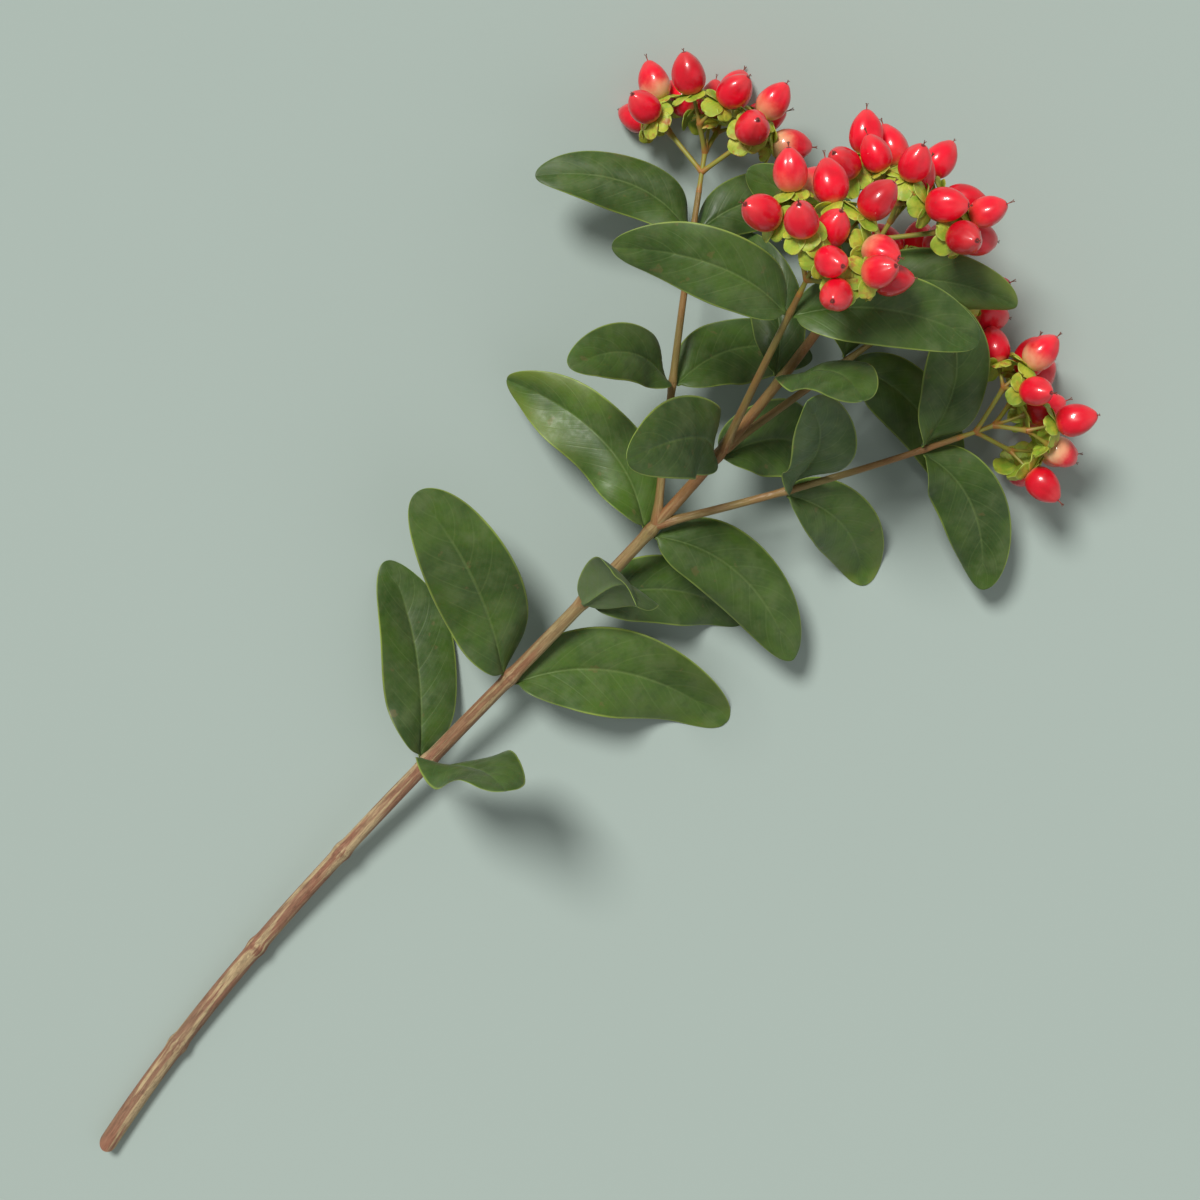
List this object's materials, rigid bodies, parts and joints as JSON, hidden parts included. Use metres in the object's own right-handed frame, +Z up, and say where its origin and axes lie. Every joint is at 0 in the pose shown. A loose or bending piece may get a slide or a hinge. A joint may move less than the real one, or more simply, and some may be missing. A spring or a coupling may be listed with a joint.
{
  "type": "hypericum berry stem",
  "caption": "Cut woody stem lying flat, with forked shoots, opposite oval leaves and clusters of red berries at the shoot tips.",
  "frame": {"origin": "middle of the outline's box, on the surface the stem lies on", "axes": "+Z up, +X along the stem from its cut end to the berries, +Y to the left of the stem seen from above"},
  "size_m": [0.4336, 0.1935, 0.1122],
  "materials": {
    "bark": "smooth red-brown bark, satin",
    "leaf": "fresh leaf, soft satin sheen",
    "berries": "glossy ripe berry over a matt green calyx"
  },
  "bodies": {
    "root": {"stem": "bark", "leaf_01": "leaf", "leaf_02": "leaf", "leaf_03": "leaf", "leaf_04": "leaf", "leaf_05": "leaf", "leaf_06": "leaf", "leaf_07": "leaf", "leaf_08": "leaf", "leaf_09": "leaf", "leaf_10": "leaf", "leaf_11": "leaf", "leaf_12": "leaf", "leaf_13": "leaf", "leaf_14": "leaf", "leaf_15": "leaf", "leaf_16": "leaf", "leaf_17": "leaf", "leaf_18": "leaf", "leaf_19": "leaf", "leaf_20": "leaf", "leaf_21": "leaf", "leaf_22": "leaf", "leaf_23": "leaf", "leaf_24": "leaf", "leaf_25": "leaf", "leaf_26": "leaf", "spray_1": "berries", "spray_2": "berries", "spray_3": "berries", "spray_4": "berries", "spray_5": "berries"}
  },
  "joints": []
}
